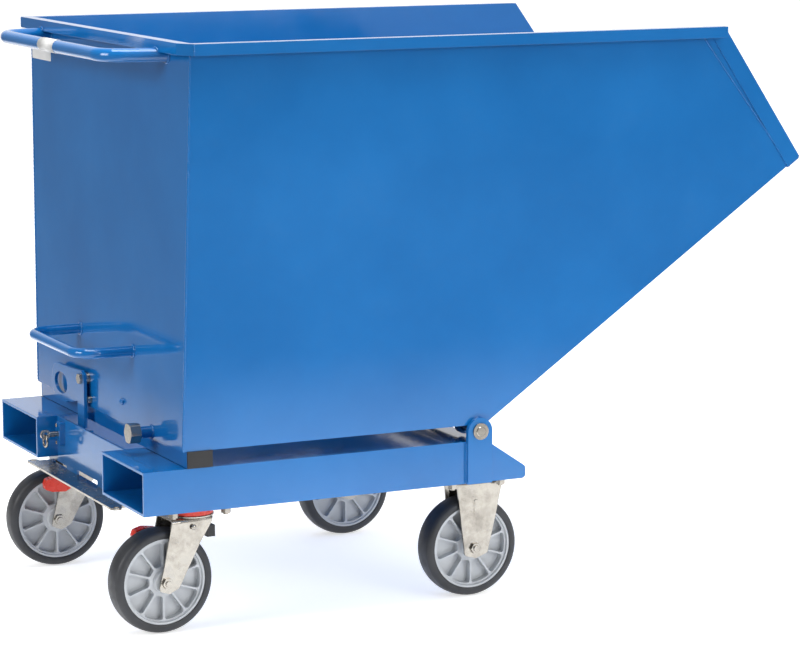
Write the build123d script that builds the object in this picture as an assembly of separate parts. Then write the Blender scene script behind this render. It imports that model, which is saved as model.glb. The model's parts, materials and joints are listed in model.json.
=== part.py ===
from build123d import *
from math import atan2, cos, hypot, pi, sin, tan
import os

# Tipping skip trolley: a sheet-steel trough that pivots on a four-wheeled base
# with two fork pockets. Millimetres, Z up, floor at Z = 0, Y across the trolley.
# X runs from the push-handle end to the pouring lip. The sizes below are measured
# from the base's push-handle end, and every part is moved by origin_x at export,
# so that the row's origin is under the middle of the whole trolley.

# ---- base -------------------------------------------------------------------
base_low = 248.5
base_high = 330.5
base_half_width = 403.0
pocket_width = 217.0
pocket_wall = 5.0
pocket_length = 788.0
nose_start = 702.0
nose_tip_high = 272.0
front_plate_x = 43.0
front_plate_thick = 4.5
flange_start = -1.0
flange_top = 231.0
flange_thick = 4.0
flange_near_y = -224.0
flange_far_y = 240.0
flange_eye_r = 12.0
rear_plate_x = 672.0
mount_plate_thick = 8.5
mount_plate_length = 165.0
mount_plate_width = 140.0

# ---- trough -----------------------------------------------------------------
sheet = 3.0
trough_low = 362.0
trough_high = 1110.0
half_width_low = 402.0
half_width_high = 431.5
end_x_low = 78.0
end_x_high = 89.0
corner_x = 700.0
lip_x = 1388.0
lip_z = 847.0
top_corner_x = 1203.0
rim_out = 20.0
rim_deep = 21.5
rim_cut_x = 20.0
rim_near_cut_y = 36.0
rim_far_cut_x = 5.0
rim_far_cut_y = 14.0
lip_strip_width = 33.0
lip_bar_width = 30.0
lip_bar_thick = 5.0
cross_tube_x = 86.0
cross_tube_length = 50.0
cross_tube_gap = 0.6
cap_length = 22.0

# ---- hinge ------------------------------------------------------------------
pivot_x = 685.0
pivot_z = 350.5
shaft_r = 10.0
running_gap = 0.06
ear_thick = 9.0
ear_width = 52.0
lug_r = 16.0
lug_thick = 14.0
lug_places = (-340.0, 0.0, 340.0)

# ---- handles ----------------------------------------------------------------
push_bar_x = -22.0
push_bar_z = 1082.5
push_half_width = 289.0
push_foot_y = 320.0
push_tube_r = 12.7
tilt_bar_x = -27.0
tilt_bar_z = 510.5
tilt_half_width = 145.0
tilt_rod_r = 10.0

# ---- latch, plunger and drain -------------------------------------------------
lever_x = 63.5
lever_thick = 6.5
lever_pivot_y = 92.0
lever_pivot_z = 418.0
eye_y = 218.0
eye_z = 391.0
eye_half_width = 38.0
eye_half_height = 21.5
lever_bolt_r = 6.0
tail_low = 288.0
stop_peg_y = 82.0
stop_peg_z = 378.0
striker_r = 7.0
striker_z = 312.0
plunger_y = 153.0
plunger_z = 300.5
plunger_r = 5.5
eye_x = 6.0
ring_r = 11.0
ring_wire_r = 2.5
drain_y = -243.0
drain_z = 372.5
drain_r = 11.0
drain_flats = 36.0

# ---- castors ----------------------------------------------------------------
wheel_r = 100.0
wheel_width = 50.0
disc_r = 82.0
disc_web = 7.0
disc_body = 36.0
hub_r = 22.0
pocket_inner_r = 29.0
pocket_outer_r = 74.0
rib_count = 10
rib_thick = 3.6
axle_r = 6.0
castor_high = 240.0
castor_plate_thick = 5.0
castor_plate_length = 135.0
castor_plate_width = 106.0
hole_step_x = 105.0
hole_step_y = 84.0
castor_hole_r = 5.5
castor_bolt_r = 5.0
castor_bolt_flats = 17.0
fork_half = 36.5
fork_wall = 4.0
swivel_crown = 219.0
swivel_x = 138.0
fixed_x = 718.0
castor_y = 291.0
trail = 66.0
race_r = 34.0
seal_r = 40.5
pedal_pivot_x = -52.0
pedal_pivot_z = 178.0
pedal_pin_r = 5.0
near_yaw = 2.0
far_yaw = -4.0

origin_x = -(lip_x + tilt_bar_x - tilt_rod_r) / 2


def save(name, shape):
    """Write one node, moved so that the origin lies under the trolley's middle."""
    export_step(Pos(origin_x, 0, 0) * shape, "parts/" + name + ".step")


def group(shapes):
    return Compound(children=list(shapes))


def block(x0, x1, y0, y1, z0, z1):
    middle = Pos((x0 + x1) / 2, (y0 + y1) / 2, (z0 + z1) / 2)
    return middle * Box(x1 - x0, y1 - y0, z1 - z0)


def rod_x(x0, x1, y, z, radius):
    return Pos((x0 + x1) / 2, y, z) * Rot(0, 90, 0) * Cylinder(radius, x1 - x0)


def rod_y(x, y0, y1, z, radius):
    return Pos(x, (y0 + y1) / 2, z) * Rot(90, 0, 0) * Cylinder(radius, y1 - y0)


def rod_z(x, y, z0, z1, radius):
    return Pos(x, y, (z0 + z1) / 2) * Cylinder(radius, z1 - z0)


def plate_xz(points, y0, y1):
    """A plate whose outline is given as X, Z points, between two Y faces."""
    face = make_face(Polyline(*points, close=True))
    return Pos(0, y1, 0) * extrude(Plane.XZ * face, y1 - y0)


def plate_yz(points, x0, x1):
    """A plate whose outline is given as Y, Z points, between two X faces."""
    face = make_face(Polyline(*points, close=True))
    return Pos(x0, 0, 0) * extrude(Plane.YZ * face, x1 - x0)


def hexagon_x(x0, x1, y, z, flats):
    face = Pos(x0, y, z) * (Plane.YZ * RegularPolygon(flats / 2, 6, major_radius=False))
    return extrude(face, x1 - x0, dir=(1, 0, 0))


def hexagon_z(x, y, z0, z1, flats):
    face = Pos(x, y, z0) * RegularPolygon(flats / 2, 6, major_radius=False)
    return extrude(face, z1 - z0)


# ---- base frame ---------------------------------------------------------------
def pocket(side):
    """One fork pocket: a box tube whose pouring end is cut back to a sloped nose."""
    y0 = side * base_half_width
    y1 = side * (base_half_width - pocket_width)
    low, high = min(y0, y1), max(y0, y1)
    outline = (
        (0, base_low), (pocket_length, base_low), (pocket_length, nose_tip_high),
        (nose_start, base_high), (0, base_high),
    )
    solid = plate_xz(outline, low, high)
    solid = fillet(solid.edges().filter_by(Axis.Y).sort_by(Axis.X)[-2:], 8)
    bore = block(
        -1, pocket_length + 50, low + pocket_wall, high - pocket_wall,
        base_low + pocket_wall, base_high - pocket_wall,
    )
    return solid - bore


def front_plate():
    """The plate that joins the pockets at the push-handle end, with its cable slot."""
    half = base_half_width - pocket_width
    back = front_plate_x + front_plate_thick
    before, behind = front_plate_x - 1, back + 1
    plate = block(front_plate_x, back, -half, half, flange_top, base_high)
    plate += block(front_plate_x, back, flange_near_y, flange_far_y, flange_top, base_low)
    for y0, y1, top in ((136, 214, 237.5), (-41, 74, 241.5)):
        plate -= block(before, behind, y0, y1, flange_top - 1, top)
    return plate - rod_x(before, behind, plunger_y, plunger_z, plunger_r + 0.4)


def rear_plate():
    half = base_half_width - pocket_width
    return block(rear_plate_x, rear_plate_x + 5, -half, half, base_low, base_high)


def front_flange():
    """The front plate's foot, bent forward, with a lashing eye at each end."""
    low = flange_top - flange_thick
    back = front_plate_x + front_plate_thick
    flange = block(flange_start, back, flange_near_y, flange_far_y, low, flange_top)
    for side, end in ((-1, flange_near_y), (1, flange_far_y)):
        x, y = flange_start + flange_eye_r, end + side * 4
        flange += rod_z(x, y, low, flange_top, flange_eye_r)
        flange -= rod_z(x, y + side * 3, low - 1, flange_top + 1, flange_eye_r / 2)
    return flange


def castor_places():
    """Plate centre of each castor: the two swivel castors, then the two fixed ones."""
    return [(x, side * castor_y) for x in (swivel_x, fixed_x) for side in (-1, 1)]


def mount_plates():
    top = base_low
    low = top - mount_plate_thick
    plates = []
    for x, y in castor_places():
        plate = block(
            x - mount_plate_length / 2, x + mount_plate_length / 2,
            y - mount_plate_width / 2, y + mount_plate_width / 2, low, top,
        )
        for hole_x, hole_y in bolt_places(x, y):
            plate -= rod_z(hole_x, hole_y, low - 1, top + 1, castor_bolt_r)
        plates.append(plate)
    return group(plates)


def bolt_places(x, y):
    return [
        (x + i * hole_step_x / 2, y + j * hole_step_y / 2) for i in (-1, 1) for j in (-1, 1)
    ]


def castor_bolts():
    """Bolts that hold each castor plate up against its mounting plate."""
    under = castor_high - castor_plate_thick
    bolts = []
    for x, y in castor_places():
        for hole_x, hole_y in bolt_places(x, y):
            shank = rod_z(hole_x, hole_y, under - 13, base_low - 0.5, castor_bolt_r)
            washer = rod_z(hole_x, hole_y, under - 1.6, under, 9.8)
            nut = hexagon_z(hole_x, hole_y, under - 10, under - 1.6, castor_bolt_flats)
            bolts.append(shank + washer + nut)
    return group(bolts)


def castor_plate(x, y):
    """One castor's top plate with its four bolt holes."""
    plate = block(
        x - castor_plate_length / 2, x + castor_plate_length / 2,
        y - castor_plate_width / 2, y + castor_plate_width / 2,
        castor_high - castor_plate_thick, castor_high,
    )
    plate = fillet(plate.edges().filter_by(Axis.Z), 10)
    for hole_x, hole_y in bolt_places(x, y):
        plate -= rod_z(hole_x, hole_y, castor_high - 10, castor_high + 1, castor_hole_r)
    return plate


# ---- hinge --------------------------------------------------------------------
def hinge_ears():
    """Two upright plates on the base's outer faces, round-topped about the pivot."""
    half = ear_width / 2
    ears = []
    for side in (-1, 1):
        inner = side * base_half_width
        outer = side * (base_half_width + ear_thick)
        low, high = min(inner, outer), max(inner, outer)
        ear = block(pivot_x - half, pivot_x + half, low, high, base_low, pivot_z)
        ear += rod_y(pivot_x, low, high, pivot_z, half)
        ear -= rod_y(pivot_x, low - 1, high + 1, pivot_z, shaft_r)
        ears.append(ear)
    return group(ears)


def hinge_shaft():
    reach = base_half_width + ear_thick + 5
    shaft = rod_y(pivot_x, -reach, reach, pivot_z, shaft_r)
    return chamfer(shaft.edges().filter_by(GeomType.CIRCLE), 1.5)


def shaft_collars():
    """Zinc rings on the shaft's two ends, outside the ears."""
    start = base_half_width + ear_thick
    collars = []
    for side in (-1, 1):
        low, high = sorted((side * start, side * (start + 3.5)))
        collar = rod_y(pivot_x, low, high, pivot_z, 16)
        collars.append(collar - rod_y(pivot_x, low - 1, high + 1, pivot_z, shaft_r))
    return group(collars)


def hinge_lugs():
    """Bearing lugs under the trough's floor, turning on the shaft."""
    lugs = []
    for y in lug_places:
        low, high = y - lug_thick / 2, y + lug_thick / 2
        lug = rod_y(pivot_x, low, high, pivot_z, lug_r)
        lug += block(pivot_x - lug_r - 20, corner_x - 2, low, high, pivot_z, trough_low)
        above = block(pivot_x - 60, pivot_x + 60, low - 1, high + 1, trough_low, trough_low + 20)
        bore = rod_y(pivot_x, low - 1, high + 1, pivot_z, shaft_r + running_gap)
        lugs.append(lug - above - bore)
    return group(lugs)


# ---- trough sheets --------------------------------------------------------------
def half_width(z):
    rise = (z - trough_low) / (trough_high - trough_low)
    return half_width_low + rise * (half_width_high - half_width_low)


def end_x(z):
    rise = (z - trough_low) / (trough_high - trough_low)
    return end_x_low + rise * (end_x_high - end_x_low)


def wedge(inset, z0=200.0, z1=1300.0):
    """Everything between the two leaning side walls, drawn in by inset."""
    w0, w1 = half_width(z0) - inset, half_width(z1) - inset
    return plate_yz(((-w0, z0), (w0, z0), (w1, z1), (-w1, z1)), -200, 1600)


def side_outline():
    return (
        (end_x_low, trough_low), (corner_x, trough_low), (lip_x, lip_z),
        (top_corner_x, trough_high), (end_x_high, trough_high),
    )


def side_panel(side):
    body = plate_xz(side_outline(), -600, 600) & (wedge(0) - wedge(sheet))
    keep = block(-200, 1600, 1, 600, 0, 1300)
    if side < 0:
        keep = block(-200, 1600, -600, -1, 0, 1300)
    return body & keep


def end_panel():
    outline = (
        (end_x_low, trough_low), (end_x_low + sheet, trough_low),
        (end_x_high + sheet, trough_high), (end_x_high, trough_high),
    )
    panel = plate_xz(outline, -600, 600) & wedge(sheet)
    return panel - rod_x(end_x_low - 20, end_x_low + 20, drain_y, drain_z, drain_r)


def floor_sheet():
    start = end_x(trough_low + sheet) + sheet
    floor = block(start, corner_x, -600, 600, trough_low, trough_low + sheet)
    return floor & wedge(sheet)


def chute_slope():
    return atan2(lip_z - trough_low, lip_x - corner_x)


def chute_sheet():
    """The slanted pouring sheet, its lower edge mitred against the floor."""
    slope = chute_slope()
    shift = sheet * tan(slope / 2)
    outline = (
        (corner_x, trough_low), (lip_x, lip_z),
        (lip_x - sheet * sin(slope), lip_z + sheet * cos(slope)),
        (corner_x - shift, trough_low + sheet),
    )
    miter = block(end_x_low, corner_x, -600, 600, trough_low, trough_low + sheet)
    return (plate_xz(outline, -600, 600) & wedge(sheet)) - miter


def rim_plan():
    """The rim's outer plan: the near corner is cut wide, the far corner only eased."""
    x0 = end_x_high - rim_out
    y0 = half_width_high + rim_out
    return (
        (x0, rim_near_cut_y - y0), (x0 + rim_cut_x, -y0), (top_corner_x, -y0),
        (top_corner_x, y0), (x0 + rim_far_cut_x, y0), (x0, y0 - rim_far_cut_y),
    )


def rim_ring(x_low, x_high):
    """The stretch of the folded rim between two X planes."""
    outer = make_face(Polyline(*rim_plan(), close=True))
    inner = offset(outer, -sheet)
    low = trough_high - rim_deep
    fold = Pos(0, 0, low) * (extrude(outer, rim_deep) - extrude(inner, rim_deep - sheet))
    inside = plate_xz(side_outline(), -600, 600) & wedge(0)
    mouth = block(end_x_high, 1500, -half_width_high, half_width_high, 0, 1300)
    return (fold - inside - mouth) & block(x_low, x_high, -600, 600, 0, 1300)


def rim_end():
    x0 = end_x_high - rim_out
    return rim_ring(x0 - 5, x0 + rim_cut_x)


def rim_side(side):
    x0 = end_x_high - rim_out + rim_cut_x
    ring = rim_ring(x0, top_corner_x - sheet)
    low, high = sorted((side * 300, side * 600))
    return ring & block(-200, 1600, low, high, 0, 1300)


def lip_strips():
    """Flat stiffeners outside the side panels along the slanted mouth."""
    run_x = lip_x - top_corner_x
    run_z = lip_z - trough_high
    length = hypot(run_x, run_z)
    back_x = run_z / length * lip_strip_width
    back_z = -run_x / length * lip_strip_width
    outline = (
        (top_corner_x, trough_high), (lip_x, lip_z),
        (lip_x + back_x, lip_z + back_z), (top_corner_x + back_x, trough_high + back_z),
    )
    clip = plate_xz(side_outline(), -600, 600)
    strips = (plate_xz(outline, -600, 600) & clip) & (wedge(-2) - wedge(0))
    rims = rim_ring(0, 1500)
    return group((strips - rims).solids())


def lip_bar():
    """A flat bar under the pouring lip that keeps its edge straight."""
    slope = chute_slope()
    back_x, back_z = lip_x - lip_bar_width * cos(slope), lip_z - lip_bar_width * sin(slope)
    drop = lip_bar_thick * cos(slope)
    corners = ((back_x, back_z), (lip_x, lip_z), (lip_x, lip_z - drop), (back_x, back_z - drop))
    return plate_xz(corners, -600, 600) & wedge(0)


def cross_tube():
    """The box tube under the trough that rests on the base."""
    low = base_high + cross_tube_gap
    half = half_width_low - 0.5
    tube = block(cross_tube_x, cross_tube_x + cross_tube_length, -half, half, low, trough_low)
    bore = block(
        cross_tube_x + 3, cross_tube_x + cross_tube_length - 3, -half - 1, half + 1,
        low + 3, trough_low - 3,
    )
    return tube - bore


def tube_caps():
    low = base_high + cross_tube_gap
    half = half_width_low - 0.5
    caps = []
    for side in (-1, 1):
        inner, outer = sorted((side * half, side * (half + 3)))
        cap = block(
            cross_tube_x, cross_tube_x + cross_tube_length, inner, outer, low, trough_low,
        )
        plug_low, plug_high = sorted((side * (half - cap_length), side * half))
        cap += block(
            cross_tube_x + 3, cross_tube_x + cross_tube_length - 3, plug_low, plug_high,
            low + 3, trough_low - 3,
        )
        caps.append(cap)
    return group(caps)


# ---- handles --------------------------------------------------------------------
def bent_bar(bar_x, z, half, foot, bend, radius, gap):
    """A U of round bar that lies flat; its two arms spread to their feet on the end panel."""
    tip = end_x(z)
    reach = 20
    past = foot + (foot - half) * reach / (tip - bar_x)
    path = FilletPolyline(
        (tip + reach, -past, z), (bar_x, -half, z), (bar_x, half, z), (tip + reach, past, z),
        radius=bend,
    )
    profile = Plane(origin=path @ 0, z_dir=path % 0) * Circle(radius)
    bar = sweep(profile, path=path)
    low, high = z - 60, z + 60
    beyond = ((end_x(low) - gap, low), (end_x(high) - gap, high), (1200, high), (1200, low))
    return bar - plate_xz(beyond, -600, 600)


def push_handle():
    """The push bar; its arms are coped where they pass under the rim's fold."""
    bar = bent_bar(push_bar_x, push_bar_z, push_half_width, push_foot_y, 52, push_tube_r, 0.3)
    fold_x = end_x_high - rim_out - 0.3
    fold = block(fold_x, 200, -500, 500, trough_high - rim_deep - 0.3, 1300)
    return bar - fold


def tilt_handle():
    half = tilt_half_width
    return bent_bar(tilt_bar_x, tilt_bar_z, half, half, 40, tilt_rod_r, 0.3)


# ---- drain ----------------------------------------------------------------------
def drain_stub():
    pipe = rod_x(36, end_x(drain_z) + sheet - 0.4, drain_y, drain_z, drain_r)
    return pipe - rod_x(30, 120, drain_y, drain_z, drain_r - 3)


def drain_cap():
    """A hexagon cap over the drain pipe's end."""
    cap = hexagon_x(31, 52, drain_y, drain_z, drain_flats)
    round_over = rod_x(31, 52, drain_y, drain_z, drain_flats / 2 * 1.08)
    bore = rod_x(35, 60, drain_y, drain_z, drain_r + 0.3)
    return (cap & round_over) - bore


# ---- latch ----------------------------------------------------------------------
def latch_lever():
    """A flat lever in the YZ plane: hand eye, pivot, and a tail ending in a hook."""
    x0, x1 = lever_x, lever_x + lever_thick
    eye = SlotOverall(2 * eye_half_width + 34, 2 * eye_half_height + 32)
    eye_plate = Pos(x0, eye_y, eye_z) * (Plane.YZ * eye)
    plate = extrude(eye_plate, lever_thick, dir=(1, 0, 0))
    web = (
        (84, 428), (100, 434), (150, 431), (232, eye_z + 36), (240, eye_z - 36),
        (160, 361), (122, 370), (122, tail_low), (84, tail_low),
    )
    plate += plate_yz(web, x0, x1)
    hole = Pos(x0 - 1, eye_y, eye_z) * (Plane.YZ * Ellipse(eye_half_width, eye_half_height))
    plate -= extrude(hole, lever_thick + 2, dir=(1, 0, 0))
    plate -= rod_x(x0 - 1, x1 + 1, lever_pivot_y + 8, lever_pivot_z, lever_bolt_r + running_gap)
    notch = block(x0 - 1, x1 + 1, 70, 99, striker_z - 13, striker_z + 9)
    return plate - notch


def latch_bolt():
    """The lever's pivot bolt with its spacer, and the guide peg behind the lever's tail."""
    y = lever_pivot_y + 8
    wall = end_x(lever_pivot_z)
    shank = rod_x(lever_x - 1, wall, y, lever_pivot_z, lever_bolt_r)
    head = hexagon_x(lever_x - 6.5, lever_x - 0.3, y, lever_pivot_z, 19)
    spacer = rod_x(lever_x + lever_thick + 0.3, wall, y, lever_pivot_z, 11)
    solid = shank + head + spacer
    solid += rod_x(lever_x + lever_thick + 0.4, wall, stop_peg_y, stop_peg_z, 6.5)
    return solid - plate_xz(
        ((end_x(300), 300), (end_x(500), 500), (200, 500), (200, 300)), -600, 600,
    )


def latch_striker():
    """A round peg behind the front plate that the lever's hook catches."""
    back = front_plate_x + front_plate_thick
    return rod_x(back, 74, 66, striker_z, striker_r)


# ---- plunger --------------------------------------------------------------------
def plunger_block():
    """The plunger's guide block, fixed to the front plate by two screws."""
    guide = block(front_plate_x - 11, front_plate_x, plunger_y - 11, plunger_y + 11, 277, 324)
    guide = fillet(guide.edges().filter_by(Axis.X), 4)
    solid = guide - rod_x(0, 80, plunger_y, plunger_z, plunger_r + running_gap)
    for z in (283, 318):
        solid += rod_x(front_plate_x - 14, front_plate_x - 11, plunger_y, z, 4)
    return solid


def plunger_pin():
    """The plunger's rod, with the eye that carries the pull ring."""
    rod = rod_x(13, front_plate_x + 9, plunger_y, plunger_z, plunger_r)
    rod = chamfer(rod.edges().filter_by(GeomType.CIRCLE).sort_by(Axis.X)[-1:], 1.5)
    eye = rod_y(eye_x, plunger_y - 3, plunger_y + 3, plunger_z, 10)
    return rod + eye - rod_y(eye_x, plunger_y - 4, plunger_y + 4, plunger_z, 5)


def pull_ring():
    """A round ring hanging in the plunger's eye."""
    drop = ring_r + 1.8
    return Pos(eye_x, plunger_y, plunger_z - drop) * Rot(0, 90, 0) * Torus(ring_r, ring_wire_r)


# ---- castors --------------------------------------------------------------------
def disc_pocket():
    """One hollow between two ribs: a sector with parallel-sided ribs and round corners."""
    half_angle = pi / rib_count
    apex = rib_thick / 2 / sin(half_angle)
    reach = 2 * pocket_outer_r
    sector = make_face(Polyline(
        (apex, 0), (apex + reach * cos(half_angle), reach * sin(half_angle)),
        (apex + reach * cos(half_angle), -reach * sin(half_angle)), close=True,
    ))
    face = (Circle(pocket_outer_r) - Circle(pocket_inner_r)) & sector
    return fillet(face.vertices(), 5.5)


def wheel_disc():
    """Plastic wheel centre: hub, tyre seat, and ribs between hollows on both faces."""
    half = wheel_width / 2
    body = disc_body / 2
    outline = (
        (11, -half - 1), (hub_r - 2, -half - 1), (hub_r, -body), (disc_r - 5, -body),
        (disc_r - 4, -half + 2), (disc_r, -half + 2), (disc_r, half - 2), (disc_r - 4, half - 2),
        (disc_r - 5, body), (hub_r, body), (hub_r - 2, half + 1), (11, half + 1),
    )
    disc = revolve(Plane.XZ * make_face(Polyline(*outline, close=True)), Axis.Z)
    hollow = extrude(disc_pocket(), half)
    hollows = Pos(0, 0, disc_web / 2) * hollow + Pos(0, 0, -disc_web / 2 - half) * hollow
    for index in range(rib_count):
        disc -= Rot(0, 0, index * 360 / rib_count) * hollows
    return Rot(90, 0, 0) * disc


def tyre():
    """Rubber tyre: a crowned tread with rounded shoulders."""
    half = wheel_width / 2
    with BuildSketch(Plane.XZ) as section:
        with BuildLine():
            Line((disc_r, -half + 1), (disc_r, half - 1))
            Line((disc_r, half - 1), (disc_r + 2, half))
            ThreePointArc((disc_r + 2, half), (wheel_r - 6, half - 2), (wheel_r - 2.2, half - 7))
            ThreePointArc((wheel_r - 2.2, half - 7), (wheel_r, 0), (wheel_r - 2.2, 7 - half))
            ThreePointArc((wheel_r - 2.2, 7 - half), (wheel_r - 6, 2 - half), (disc_r + 2, -half))
            Line((disc_r + 2, -half), (disc_r, -half + 1))
        make_face()
    return Rot(90, 0, 0) * revolve(section.sketch, Axis.Z)


def wheel_sleeve():
    """Steel bearing sleeve pressed into the hub."""
    half = wheel_width / 2 + 2.5
    sleeve = Cylinder(11, 2 * half) - Cylinder(axle_r + running_gap, 2 * half + 2)
    return Rot(90, 0, 0) * sleeve


def wheel_axle():
    """Axle bolt across the fork, with its head and nut."""
    outer = fork_half
    axle = rod_y(0, -outer - 9, outer + 9, 0, axle_r)
    nut = Rot(90, 0, 0) * hexagon_z(0, 0, outer, outer + 6, 19)
    head = Rot(90, 0, 0) * hexagon_z(0, 0, -outer - 6, -outer, 19)
    return axle + nut + head


def fork_prism(plan, inset, z0, z1, corner):
    """A block that stands on a plan of X, half-width points, rounded along its top."""
    near = [(x, inset - y) for x, y in plan]
    far = [(x, y - inset) for x, y in reversed(plan)]
    prism = Pos(0, 0, z0) * extrude(make_face(Polyline(*near, *far, close=True)), z1 - z0)
    return fillet(prism.edges().group_by(Axis.Z)[-1], corner)


def fork_pressing(plan, outline, crown):
    """A pressed U over the wheel whose cheeks are folded inwards along their edges."""
    outer = fork_prism(plan, 0, 40, crown, 8)
    inner = fork_prism(plan, fork_wall, 30, crown - fork_wall, 4)
    cheeks = make_face(Polyline(*outline, close=True))
    low_corners = cheeks.vertices().sort_by(Axis.Y)[:3]
    cheeks = fillet(low_corners, 7)
    return (outer - inner) & extrude(Plane.XZ * cheeks, 100, both=True)


def swivel_fork(side):
    """Trailing fork; the cheek on the pedal's side is drilled for its pivot."""
    plan = ((-130, fork_half), (-38, fork_half), (60, 21.7))
    outline = (
        (-54, swivel_crown + 1), (33, swivel_crown + 1), (31, 208), (5, 171), (-43, 88),
        (-62, 79), (-83, 86), (-72, 131),
    )
    fork = fork_pressing(plan, outline, swivel_crown)
    fork -= rod_y(-trail, -60, 60, wheel_r, axle_r)
    low, high = sorted((side * 20, side * 60))
    return fork - rod_y(pedal_pivot_x, low, high, pedal_pivot_z, pedal_pin_r + running_gap)


def swivel_head():
    """The ball-race pot between the top plate and the fork, on its flat washer."""
    top = castor_high - castor_plate_thick - 0.3
    return rod_z(0, 0, swivel_crown, top, race_r) + rod_z(0, 0, swivel_crown, swivel_crown + 2.5, 42)


def seal_ring():
    low, top = swivel_crown + 2.8, castor_high - castor_plate_thick - 0.8
    ring = rod_z(0, 0, low, top, seal_r) - rod_z(0, 0, 0, 300, race_r)
    return chamfer(ring.edges().filter_by(GeomType.CIRCLE).sort_by(SortBy.LENGTH)[-2:], 1)


def brake_pedal(side):
    """Foot pedal outside the fork's inner cheek, wide and round at its free end."""
    face = fork_half + 1
    low, high = sorted((side * face, side * (face + 20)))
    outline = (
        (-101, 178), (-97, 188), (-80, 193), (-54, 190), (-46, 184), (-46, 168), (-58, 162),
        (-86, 163), (-99, 168),
    )
    pedal = plate_xz(outline, low, high)
    pedal = fillet(pedal.edges().filter_by(Axis.Y), 3.5)
    grip_low, grip_high = sorted((side * (face + 3), side * (face + 17)))
    for x in (-91, -85, -79, -73):
        pedal -= block(x - 1.2, x + 1.2, grip_low, grip_high, 185, 200)
    pin_low, pin_high = sorted((side * (fork_half - fork_wall + 0.5), side * (face + 5)))
    return pedal + rod_y(pedal_pivot_x, pin_low, pin_high, pedal_pivot_z, pedal_pin_r)


def brake_guide():
    """Black brake guide under the crown, on the side away from the wheel."""
    guide = block(26, 42, -14, 14, 174, 196)
    guide += block(12, 30, -14, 14, 190, swivel_crown - fork_wall)
    return guide


def fixed_fork():
    """Rigid fork, wider ahead of the axle than behind it."""
    crown = castor_high - castor_plate_thick
    plan = ((-60, 17.5), (-22, fork_half), (27, fork_half), (90, 21.1))
    outline = (
        (-37, crown + 1), (67, crown + 1), (50, 170), (31, 101), (27, 88), (3, 79), (-22, 86),
        (-23, 100),
    )
    fork = fork_pressing(plan, outline, crown)
    slot = Plane.XZ * (Pos(2, 182) * Rot(0, 0, 90) * SlotOverall(30, 9))
    boss = extrude(slot, fork_half + 1.2, both=True)
    boss -= block(-100, 100, 0.5 - fork_half, fork_half - 0.5, 0, 300)
    return fork + boss - rod_y(0, -60, 60, wheel_r, axle_r)


def castor_spot(index):
    """Location of a castor's wheel-side parts: plate centre, then its heading."""
    x, y = castor_places()[index]
    yaw = (near_yaw, far_yaw, 0.0, 0.0)[index]
    return Pos(x, y, 0) * Rot(0, 0, yaw)


def wheel_spot(index):
    back = -trail if index < 2 else 0.0
    return castor_spot(index) * Pos(back, 0, wheel_r)


os.makedirs("parts", exist_ok=True)

save("pocket_near", pocket(-1))
save("pocket_far", pocket(1))
save("front_plate", front_plate())
save("rear_plate", rear_plate())
save("front_flange", front_flange())
save("mount_plates", mount_plates())
save("castor_bolts", castor_bolts())
save("hinge_ears", hinge_ears())
save("hinge_shaft", hinge_shaft())
save("shaft_collars", shaft_collars())
save("latch_striker", latch_striker())
save("plunger_block", plunger_block())
save("castor_plates", group([castor_plate(x, y) for x, y in castor_places()]))

save("end_panel", end_panel())
save("side_near", side_panel(-1))
save("side_far", side_panel(1))
save("floor_sheet", floor_sheet())
save("chute_sheet", chute_sheet())
save("lip_bar", lip_bar())
save("lip_strips", lip_strips())
save("rim_end", rim_end())
save("rim_sides", group([rim_side(-1), rim_side(1)]))
save("push_handle", push_handle())
save("tilt_handle", tilt_handle())
save("cross_tube", cross_tube())
save("tube_caps", tube_caps())
save("hinge_lugs", hinge_lugs())
save("drain_stub", drain_stub())
save("drain_cap", drain_cap())
save("latch_bolt", latch_bolt())
save("latch_lever", latch_lever())
save("plunger_pin", plunger_pin())
save("pull_ring", pull_ring())

disc_shape = wheel_disc()
for index, corner in enumerate(("swivel_near", "swivel_far", "fixed_near", "fixed_far")):
    save(corner + "_tyre", wheel_spot(index) * tyre())
    save(corner + "_disc", wheel_spot(index) * disc_shape)
    save(corner + "_sleeve", wheel_spot(index) * wheel_sleeve())
    save(corner + "_axle", wheel_spot(index) * wheel_axle())
for index, corner in enumerate(("swivel_near", "swivel_far")):
    inner_side = 1 if index == 0 else -1
    save(corner + "_fork", castor_spot(index) * swivel_fork(inner_side))
    save(corner + "_race", castor_spot(index) * swivel_head())
    save(corner + "_seal", castor_spot(index) * seal_ring())
    save(corner + "_pedal", castor_spot(index) * brake_pedal(inner_side))
    save(corner + "_brake_guide", castor_spot(index) * brake_guide())
save("fixed_forks", group([castor_spot(index) * fixed_fork() for index in (2, 3)]))
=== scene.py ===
import json
import math
import random

import bmesh
import bpy
from mathutils import Matrix, Vector


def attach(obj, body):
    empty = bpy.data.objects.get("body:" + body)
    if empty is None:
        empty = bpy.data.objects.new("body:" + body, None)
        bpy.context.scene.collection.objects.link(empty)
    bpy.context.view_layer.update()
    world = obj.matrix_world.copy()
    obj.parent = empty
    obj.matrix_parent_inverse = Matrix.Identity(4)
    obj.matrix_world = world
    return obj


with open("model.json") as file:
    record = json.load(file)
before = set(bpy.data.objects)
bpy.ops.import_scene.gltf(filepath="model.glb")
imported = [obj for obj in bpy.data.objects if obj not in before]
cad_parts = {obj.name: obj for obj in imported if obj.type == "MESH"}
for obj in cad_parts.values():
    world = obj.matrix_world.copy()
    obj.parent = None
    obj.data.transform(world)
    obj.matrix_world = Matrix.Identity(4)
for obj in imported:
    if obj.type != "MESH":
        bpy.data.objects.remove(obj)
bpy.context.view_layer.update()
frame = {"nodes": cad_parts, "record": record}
NODES = frame["nodes"]

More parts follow.
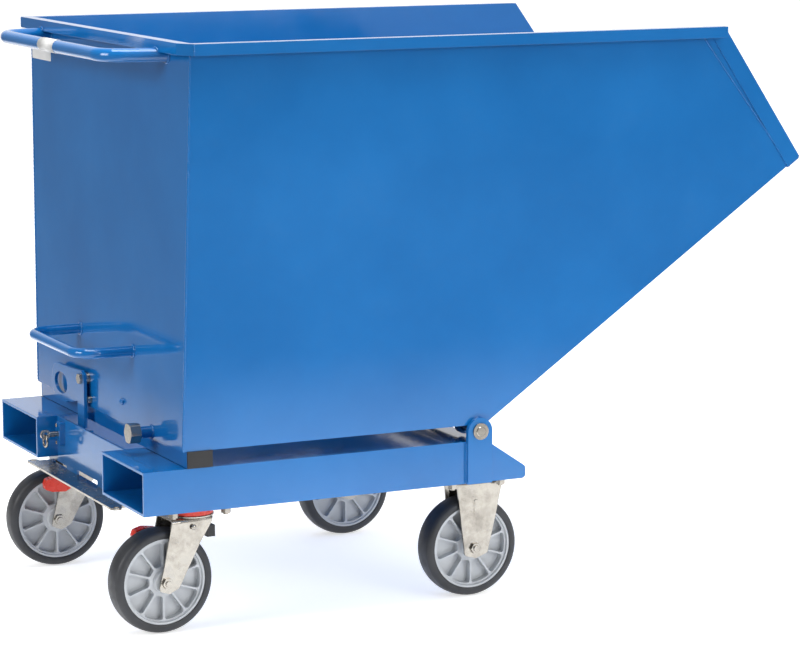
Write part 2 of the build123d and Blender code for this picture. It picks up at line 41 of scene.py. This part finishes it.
# The trough and base in millimetres from the base's push-handle end, as the CAD draws them.
# A small offset from a face, such as 0.6, sets how deep a bead or rivet sits in the metal.
MM = 0.001
ORIGIN_X = -675.5
TROUGH_LOW, TROUGH_HIGH = 362.0, 1110.0
END_X_LOW, END_X_HIGH = 78.0, 89.0
HALF_LOW, HALF_HIGH = 402.0, 431.5
RIM_OUT, RIM_DEEP = 20.0, 21.5
PUSH_BAR_X, PUSH_BAR_Z, PUSH_R = -22.0, 1082.5, 12.7
PUSH_HALF, PUSH_FOOT = 289.0, 320.0
TILT_BAR_Z, TILT_HALF, TILT_R = 510.5, 145.0, 10.0
DRAIN_Y, DRAIN_Z, DRAIN_R = -243.0, 372.5, 11.0
BASE_HALF = 403.0
EAR_EDGES = ((659, "push"), (711, "lip"))
EAR_WELD_Z = (250, 328)
STRIP_BACK_EDGE = ((1157.5, 1089.5), (1368, 827))
GUIDE_FACE_X, GUIDE_Y = 29.2, 153
GUIDE_SCREWS = ((283, "low"), (318, "high"))
CASTOR_Y, FORK_HALF = 291, 36.3
RIVET_X, RIVET_Z = 127.8, 201.5


# ---- materials ---------------------------------------------------------------
class Shader:
    """A node material with a few short ways to wire it."""

    def __init__(self, name):
        self.material = bpy.data.materials.new(name)
        self.material.use_nodes = True
        self.tree = self.material.node_tree
        self.bsdf = self.tree.nodes["Principled BSDF"]
        self.coords = self.tree.nodes.new("ShaderNodeTexCoord").outputs["Object"]

    def link(self, source, target):
        self.tree.links.new(source, target)

    def stretch(self, scale):
        node = self.tree.nodes.new("ShaderNodeMapping")
        node.inputs["Scale"].default_value = scale
        self.link(self.coords, node.inputs["Vector"])
        return node.outputs["Vector"]

    def noise(self, scale, detail=4.0, rough=0.5, coords=None):
        node = self.tree.nodes.new("ShaderNodeTexNoise")
        node.inputs["Scale"].default_value = scale
        node.inputs["Detail"].default_value = detail
        node.inputs["Roughness"].default_value = rough
        self.link(coords or self.coords, node.inputs["Vector"])
        return node.outputs["Fac"]

    def ramp(self, value, stops):
        node = self.tree.nodes.new("ShaderNodeValToRGB")
        points = node.color_ramp.elements
        while len(points) < len(stops):
            points.new(0.5)
        for point, (place, colour) in zip(points, stops):
            point.position = place
            point.color = (*colour, 1.0)
        self.link(value, node.inputs["Fac"])
        return node.outputs["Color"]

    def spread(self, value, low, high, from_low=0.3, from_high=0.7):
        node = self.tree.nodes.new("ShaderNodeMapRange")
        node.inputs["From Min"].default_value = from_low
        node.inputs["From Max"].default_value = from_high
        node.inputs["To Min"].default_value = low
        node.inputs["To Max"].default_value = high
        self.link(value, node.inputs["Value"])
        return node.outputs["Result"]

    def blend(self, factor, first, second, mode="MIX"):
        node = self.tree.nodes.new("ShaderNodeMix")
        node.data_type = "RGBA"
        node.blend_type = mode
        if isinstance(factor, float):
            node.inputs[0].default_value = factor
        else:
            self.link(factor, node.inputs[0])
        for socket, value in ((node.inputs[6], first), (node.inputs[7], second)):
            if isinstance(value, tuple):
                socket.default_value = (*value, 1.0)
            else:
                self.link(value, socket)
        return node.outputs[2]

    def soft_edges(self, radius):
        """The normal of the surface with its edges rounded off by radius, in metres."""
        bevel = self.tree.nodes.new("ShaderNodeBevel")
        bevel.samples = 4
        bevel.inputs["Radius"].default_value = radius
        return bevel.outputs["Normal"]

    def bump(self, layers, edge_radius=0.0):
        """Stacks bump layers of (height, distance in metres, strength) on softened edges."""
        normal = self.soft_edges(edge_radius) if edge_radius else None
        for height, distance, strength in layers:
            node = self.tree.nodes.new("ShaderNodeBump")
            node.inputs["Distance"].default_value = distance
            node.inputs["Strength"].default_value = strength
            self.link(height, node.inputs["Height"])
            if normal is not None:
                self.link(normal, node.inputs["Normal"])
            normal = node.outputs["Normal"]
        self.link(normal, self.bsdf.inputs["Normal"])

    def set(self, **values):
        for name, value in values.items():
            self.bsdf.inputs[name.replace("_", " ")].default_value = value


def blue_paint():
    """Gloss powder coat: slight orange peel, long soft ripples and faint dust."""
    shader = Shader("blue_paint")
    cloud = shader.noise(2.2, 5.0, 0.6)
    base = shader.ramp(cloud, ((0.35, (0.004, 0.125, 0.385)), (0.65, (0.008, 0.155, 0.455))))
    grime = shader.noise(9.0, 8.0, 0.7)
    dusty = shader.spread(grime, 0.0, 0.06, 0.55, 0.85)
    base = shader.blend(dusty, base, (0.10, 0.20, 0.34))
    shader.link(base, shader.bsdf.inputs["Base Color"])
    smear = shader.noise(14.0, 6.0, 0.65)
    shader.link(shader.spread(smear, 0.07, 0.15), shader.bsdf.inputs["Roughness"])
    peel = shader.noise(420.0, 2.0, 0.4)
    ripple = shader.noise(3.0, 2.0, 0.4)
    shader.bump(((ripple, 0.0008, 0.35), (peel, 0.00004, 0.5)), 0.0012)
    shader.set(IOR=1.5, Coat_Weight=0.2, Coat_Roughness=0.05)
    return shader.material


def zinc():
    """Bright zinc plate with a faint warm passivation and drawn, cloudy grain."""
    shader = Shader("zinc_plate")
    cloud = shader.noise(26.0, 6.0, 0.65)
    stops = ((0.3, (0.27, 0.25, 0.22)), (0.55, (0.42, 0.395, 0.35)), (0.8, (0.33, 0.32, 0.30)))
    shader.link(shader.ramp(cloud, stops), shader.bsdf.inputs["Base Color"])
    grain = shader.noise(700.0, 3.0, 0.6, shader.stretch((1.0, 1.0, 0.12)))
    patch = shader.noise(40.0, 4.0, 0.6)
    shader.link(shader.spread(patch, 0.14, 0.30), shader.bsdf.inputs["Roughness"])
    shader.bump(((grain, 0.00002, 0.5),), 0.0008)
    shader.set(Metallic=0.95)
    return shader.material


def tyre_rubber():
    """Grey-black elastic rubber, matt, with a fine mould grain."""
    shader = Shader("tyre_rubber")
    cloud = shader.noise(18.0, 6.0, 0.6)
    base = shader.ramp(cloud, ((0.3, (0.016, 0.017, 0.020)), (0.7, (0.029, 0.031, 0.036))))
    shader.link(base, shader.bsdf.inputs["Base Color"])
    shader.link(shader.spread(shader.noise(60.0), 0.42, 0.60), shader.bsdf.inputs["Roughness"])
    shader.bump(((shader.noise(900.0, 3.0, 0.6), 0.00008, 0.6),), 0.0010)
    return shader.material


def moulded(name, dark, light, rough, grain=0.00005):
    """Injection-moulded plastic with a fine spark-eroded texture."""
    shader = Shader(name)
    cloud = shader.noise(22.0, 4.0, 0.5)
    base = shader.ramp(cloud, ((0.3, dark), (0.7, light)))
    shader.link(base, shader.bsdf.inputs["Base Color"])
    shader.link(shader.spread(shader.noise(70.0), *rough), shader.bsdf.inputs["Roughness"])
    shader.bump(((shader.noise(1300.0, 2.0, 0.5), grain, 0.6),), 0.0010)
    return shader.material


MATERIALS = {
    "blue_paint": blue_paint(),
    "zinc": zinc(),
    "tyre": tyre_rubber(),
    "grey_plastic": moulded("grey_plastic", (0.43, 0.45, 0.475), (0.49, 0.51, 0.53), (0.30, 0.42)),
    "red_plastic": moulded("red_plastic", (0.62, 0.030, 0.015), (0.74, 0.045, 0.022), (0.22, 0.32)),
    "black_plastic": moulded("black_plastic", (0.008, 0.008, 0.009), (0.014, 0.014, 0.016), (0.40, 0.52)),
    "label": moulded("label_white", (0.78, 0.78, 0.77), (0.86, 0.86, 0.85), (0.30, 0.42), 0.00001),
}


def dress(piece, slot):
    """Gives a piece the one material of its slot."""
    piece.data.materials.clear()
    piece.data.materials.append(MATERIALS[slot])


for entry in frame["record"]["subparts"]:
    dress(NODES[entry["node"]], entry["material_slot"])


# ---- small pieces the CAD leaves out ---------------------------------------------
def end_x(z):
    """X of the end panel's outer face at height z."""
    rise = (z - TROUGH_LOW) / (TROUGH_HIGH - TROUGH_LOW)
    return END_X_LOW + rise * (END_X_HIGH - END_X_LOW)


def half_width(z):
    """Half the trough's outer width at height z."""
    rise = (z - TROUGH_LOW) / (TROUGH_HIGH - TROUGH_LOW)
    return HALF_LOW + rise * (HALF_HIGH - HALF_LOW)


def add_piece(name, points, faces, body, slot, smooth=True):
    """A mesh piece given in the CAD's millimetres, riding on a body."""
    mesh = bpy.data.meshes.new(name)
    mesh.from_pydata([Vector((x + ORIGIN_X, y, z)) * MM for x, y, z in points], [], faces)
    work = bmesh.new()
    work.from_mesh(mesh)
    bmesh.ops.recalc_face_normals(work, faces=work.faces)
    work.to_mesh(mesh)
    work.free()
    for face in mesh.polygons:
        face.use_smooth = smooth
    piece = bpy.data.objects.new(name, mesh)
    bpy.context.scene.collection.objects.link(piece)
    dress(piece, slot)
    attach(piece, body)
    return piece


def resample(path, step):
    """Points every step along a polyline, its two ends included."""
    points = [Vector(path[0])]
    for start, stop in zip(path, path[1:]):
        start, stop = Vector(start), Vector(stop)
        count = max(1, round((stop - start).length / step))
        points += [start.lerp(stop, i / count) for i in range(1, count + 1)]
    return points


def weld(name, path, radius, body="trough", closed=False, step=1.6, sides=8):
    """A rippled weld bead along a path: every few steps the bead swells as the puddle did."""
    chance = random.Random(name)
    centres = resample(path, step)
    if closed:
        centres = centres[:-1]
    count = len(centres)
    points, faces = [], []
    for i, centre in enumerate(centres):
        before = centres[i - 1] if i or closed else centre
        after = centres[(i + 1) % count] if i + 1 < count or closed else centre
        along = (after - before).normalized()
        side = along.cross(Vector((0.31, 0.52, 0.79))).normalized()
        other = along.cross(side)
        swell = radius * (1 + 0.16 * math.sin(i * 1.9) + chance.uniform(-0.10, 0.10))
        if not closed and i in (0, count - 1):
            swell *= 0.45
        for k in range(sides):
            turn = 2 * math.pi * k / sides
            points.append(centre + swell * (math.cos(turn) * side + math.sin(turn) * other))
    for i in range(count if closed else count - 1):
        j = (i + 1) % count
        for k in range(sides):
            m = (k + 1) % sides
            faces.append((i * sides + k, i * sides + m, j * sides + m, j * sides + k))
    if not closed:
        faces.append(tuple(range(sides)))
        faces.append(tuple((count - 1) * sides + k for k in range(sides)))
    return add_piece(name, points, faces, body, "blue_paint")


def arc_yz(x, y, z, radius, start, stop, step=8):
    """Points round an X-facing circle, angles in degrees from +Y towards +Z."""
    count = max(2, round(abs(stop - start) / step))
    turns = [math.radians(start + (stop - start) * i / count) for i in range(count + 1)]
    return [(x, y + radius * math.cos(t), z + radius * math.sin(t)) for t in turns]


def lathe(name, profile, centre, axis, body, slot, sides=28):
    """A turned piece: profile gives (distance along the axis, radius) from its back."""
    axis = Vector(axis).normalized()
    side = axis.orthogonal().normalized()
    other = axis.cross(side)
    points, faces = [], []
    for reach, radius in profile:
        for k in range(sides):
            turn = 2 * math.pi * k / sides
            ring = radius * (math.cos(turn) * side + math.sin(turn) * other)
            points.append(Vector(centre) + reach * axis + ring)
    for i in range(len(profile) - 1):
        for k in range(sides):
            m = (k + 1) % sides
            faces.append((i * sides + k, i * sides + m, (i + 1) * sides + m, (i + 1) * sides + k))
    faces.append(tuple(range(sides)))
    faces.append(tuple((len(profile) - 1) * sides + k for k in range(sides)))
    return add_piece(name, points, faces, body, slot)


def handle_welds():
    """Beads round the handles' feet, where they meet the rim's fold, and at the drain."""
    for side, label in ((-1, "near"), (1, "far")):
        x = end_x(TILT_BAR_Z) - 0.6
        path = arc_yz(x, side * TILT_HALF, TILT_BAR_Z, TILT_R + 1.2, 0, 360)
        weld(f"tilt_weld_{label}", path, 2.3, closed=True)
        x = end_x(PUSH_BAR_Z) - 0.6
        path = arc_yz(x, side * PUSH_FOOT, PUSH_BAR_Z, PUSH_R + 1.4, 158, 382)
        weld(f"push_weld_{label}", path, 2.6)
        fold_x = END_X_HIGH - RIM_OUT
        spread = (PUSH_FOOT - PUSH_HALF) / (END_X_HIGH - PUSH_BAR_X)
        y = side * (PUSH_HALF + spread * (fold_x - PUSH_BAR_X))
        path = arc_yz(fold_x - 0.2, y, PUSH_BAR_Z, PUSH_R + 0.8, 30, 150)
        weld(f"fold_weld_{label}", path, 2.2)
    path = arc_yz(end_x(DRAIN_Z) - 0.4, DRAIN_Y, DRAIN_Z, DRAIN_R + 1, 0, 360)
    weld("drain_weld", path, 1.8, closed=True)
    weld("end_lump", [(78.0, -98.5, 402.5), (78.2, -93.5, 404.5), (78.0, -88.5, 403.5)], 5.4)


def corner_welds():
    """Beads down the panel corners, rim corners, lip stiffeners and hinge ears."""
    for side, label in ((-1, "near"), (1, "far")):
        seam = [(end_x(z) + 0.6, side * (half_width(z) - 0.6), z) for z in (364, 1088)]
        weld(f"corner_weld_{label}", seam, 2.1, step=2.2)
        out = side * (HALF_HIGH + RIM_OUT - 0.2)
        cut = END_X_HIGH if side < 0 else END_X_HIGH - RIM_OUT + 5
        low = TROUGH_HIGH - RIM_DEEP
        weld(f"rim_weld_{label}", [(cut, out, low + 0.5), (cut, out, TROUGH_HIGH - 1.2)], 1.5)
        back = [(x, side * (half_width(z) + 0.6), z) for x, z in STRIP_BACK_EDGE]
        weld(f"strip_weld_{label}", back, 1.1, step=2.2)
        for x, end in EAR_EDGES:
            path = [(x, side * (BASE_HALF + 0.6), z) for z in EAR_WELD_Z]
            weld(f"ear_weld_{label}_{end}", path, 2.2, "base")


def fasteners():
    """Two screws on the plunger's guide and a domed rivet on each swivel fork."""
    for z, end in GUIDE_SCREWS:
        profile = ((0, 4.1), (0.8, 4.1), (1.5, 3.2), (1.5, 1.4), (0.7, 1.2))
        lathe(f"guide_screw_{end}", profile, (GUIDE_FACE_X, GUIDE_Y, z), (-1, 0, 0), "base", "zinc")
    dome = [(3.0 * math.sin(t), 5.2 * math.cos(t)) for t in (0, 0.25, 0.5, 0.75, 1.0, 1.25, 1.5)]
    for side, label in ((-1, "near"), (1, "far")):
        centre = (RIVET_X, side * (CASTOR_Y + FORK_HALF), RIVET_Z)
        lathe(f"fork_rivet_{label}", dome, centre, (0, side, 0), f"swivel_{label}", "zinc")


def panel_label():
    """A blank white plate stuck on the end panel, its corners rounded."""
    y0, y1, z0, z1, corner, proud = 313, 425, 1027, 1060, 3.0, 0.5
    outline = []
    for cy, cz, start in ((y1 - corner, z1 - corner, 0), (y0 + corner, z1 - corner, 90),
                          (y0 + corner, z0 + corner, 180), (y1 - corner, z0 + corner, 270)):
        for i in range(5):
            turn = math.radians(start + 22.5 * i)
            outline.append((cy + corner * math.cos(turn), cz + corner * math.sin(turn)))
    count = len(outline)
    points = [(end_x(z) - 0.05, y, z) for y, z in outline]
    points += [(end_x(z) - proud, y, z) for y, z in outline]
    faces = [tuple(range(count)), tuple(range(count, 2 * count))]
    faces += [(i, (i + 1) % count, (i + 1) % count + count, i + count) for i in range(count)]
    add_piece("panel_label", points, faces, "trough", "label", smooth=False)


def bar_wrap():
    """A blank white tag wrapped once round the push bar, its ends lapped."""
    thick, y0, y1, sides = 0.35, -45.0, 40.0, 48
    points, faces = [], []
    for i in range(sides + 4):
        turn = 2 * math.pi * i / sides + 1.1
        inner = PUSH_R + 0.08 + 0.40 * max(0, i - sides) / 3
        for radius in (inner, inner + thick):
            for y in (y0, y1):
                point = (PUSH_BAR_X + radius * math.cos(turn), y, PUSH_BAR_Z + radius * math.sin(turn))
                points.append(point)
    for i in range(sides + 3):
        a, b = 4 * i, 4 * i + 4
        faces += [(a, a + 1, b + 1, b), (a + 2, a + 3, b + 3, b + 2)]
        faces += [(a, a + 2, b + 2, b), (a + 1, a + 3, b + 3, b + 1)]
    last = 4 * (sides + 3)
    faces += [(0, 1, 3, 2), (last, last + 1, last + 3, last + 2)]
    add_piece("bar_wrap", points, faces, "trough", "label")


handle_welds()
corner_welds()
fasteners()
panel_label()
bar_wrap()


# ---- stage, light and camera ----------------------------------------------------
# How bright the studio is towards the push-handle end, towards the near side and below the
# horizon, and the floor's painted shade tone outside its painted pool of light.
WORLD_PUSH_END = 0.18
WORLD_NEAR_SIDE = 0.75
WORLD_BELOW = 0.45
FLOOR_PAINTED_SHADE = (0.15, 0.15, 0.15)


def make_floor():
    """A pale studio floor with a wide painted pool of light: its colour and its glow fade to painted
    shade on the camera's side.
    """
    mesh = bpy.data.meshes.new("floor")
    far = 40.0
    corners = [(-far, -far, 0), (far, -far, 0), (far, far, 0), (-far, far, 0)]
    mesh.from_pydata(corners, [], [(0, 1, 2, 3)])
    floor = bpy.data.objects.new("floor", mesh)
    bpy.context.scene.collection.objects.link(floor)
    shader = Shader("floor_painted_light")
    split = shader.tree.nodes.new("ShaderNodeSeparateXYZ")
    shader.link(shader.coords, split.inputs["Vector"])
    # Painted pool of light: the floor's colour and glow fade to a painted shade tone towards -X and -Y.
    along = shader.spread(split.outputs["X"], 0.0, 1.0, -1.55, -0.95)
    across = shader.spread(split.outputs["Y"], 0.0, 1.0, -2.3, -1.4)
    painted_pool = shader.blend(1.0, along, across, "MULTIPLY")
    tone = shader.ramp(shader.noise(0.6), ((0.3, (0.93, 0.93, 0.93)), (0.7, (0.95, 0.95, 0.95))))
    tone = shader.blend(painted_pool, FLOOR_PAINTED_SHADE, tone)
    shader.link(tone, shader.bsdf.inputs["Base Color"])
    # The floor glows with its own painted tone, painted light that lifts the real shadows on it.
    shader.link(tone, shader.bsdf.inputs["Emission Color"])
    shader.set(Roughness=0.9, Emission_Strength=0.62)
    mesh.materials.append(shader.material)


def make_light(name, place, aim, size, power):
    """A white rectangular softbox."""
    data = bpy.data.lights.new(name, "AREA")
    data.shape = "RECTANGLE"
    data.size, data.size_y = size
    data.energy = power
    light = bpy.data.objects.new(name, data)
    light.location = place
    light.rotation_euler = (Vector(aim) - Vector(place)).to_track_quat("-Z", "Y").to_euler()
    bpy.context.scene.collection.objects.link(light)


def make_world():
    """A white studio, dimmer towards the push-handle end and a little towards the near side."""
    world = bpy.data.worlds.new("studio")
    world.use_nodes = True
    tree = world.node_tree
    direction = tree.nodes.new("ShaderNodeTexCoord").outputs["Generated"]
    split = tree.nodes.new("ShaderNodeSeparateXYZ")
    tree.links.new(direction, split.inputs["Vector"])

    def gauge(source, start, stop, low, high):
        node = tree.nodes.new("ShaderNodeMapRange")
        node.interpolation_type = "SMOOTHSTEP"
        for name, value in (("From Min", start), ("From Max", stop), ("To Min", low), ("To Max", high)):
            node.inputs[name].default_value = value
        tree.links.new(source, node.inputs["Value"])
        return node.outputs["Result"]

    def product(first, second):
        node = tree.nodes.new("ShaderNodeMath")
        node.operation = "MULTIPLY"
        tree.links.new(first, node.inputs[0])
        tree.links.new(second, node.inputs[1])
        return node.outputs[0]

    towards_x = gauge(split.outputs["X"], -0.45, 0.15, WORLD_PUSH_END, 1.0)
    towards_y = gauge(split.outputs["Y"], -0.7, 0.3, WORLD_NEAR_SIDE, 1.0)
    below = gauge(split.outputs["Z"], -0.30, -0.02, WORLD_BELOW, 1.0)
    strength = product(product(towards_x, towards_y), below)
    background = tree.nodes["Background"]
    background.inputs["Color"].default_value = (1.0, 1.0, 1.0, 1.0)
    tree.links.new(strength, background.inputs["Strength"])
    bpy.context.scene.world = world


def make_camera():
    """The camera stands at the push-handle end's near corner and looks slightly down."""
    yaw, pitch = math.radians(25.76), math.radians(9.29)
    right = Vector((math.cos(yaw), -math.sin(yaw), 0))
    view = Vector((math.sin(yaw) * math.cos(pitch), math.cos(yaw) * math.cos(pitch), -math.sin(pitch)))
    up = right.cross(view)
    data = bpy.data.cameras.new("camera")
    data.sensor_width = 36.0
    data.lens = 135.8
    data.shift_x = 0.005
    data.shift_y = -0.00625
    camera = bpy.data.objects.new("camera", data)
    turn = Matrix((right, up, -view)).transposed().to_4x4()
    camera.matrix_world = Matrix.Translation((-2.5955, -5.439, 1.488)) @ turn
    bpy.context.scene.collection.objects.link(camera)
    bpy.context.scene.camera = camera


make_floor()
make_world()
make_camera()
make_light("key", (-0.4, -0.6, 4.6), (0, 0, 0.4), (3.4, 2.6), 200)
make_light("side_fill", (1.6, -5.0, 2.2), (0, 0, 0.6), (2.6, 1.6), 82)
make_light("end_fill", (-4.6, -0.6, 2.2), (0, 0, 0.7), (2.0, 1.6), 95)
bpy.context.scene.view_settings.view_transform = "Standard"
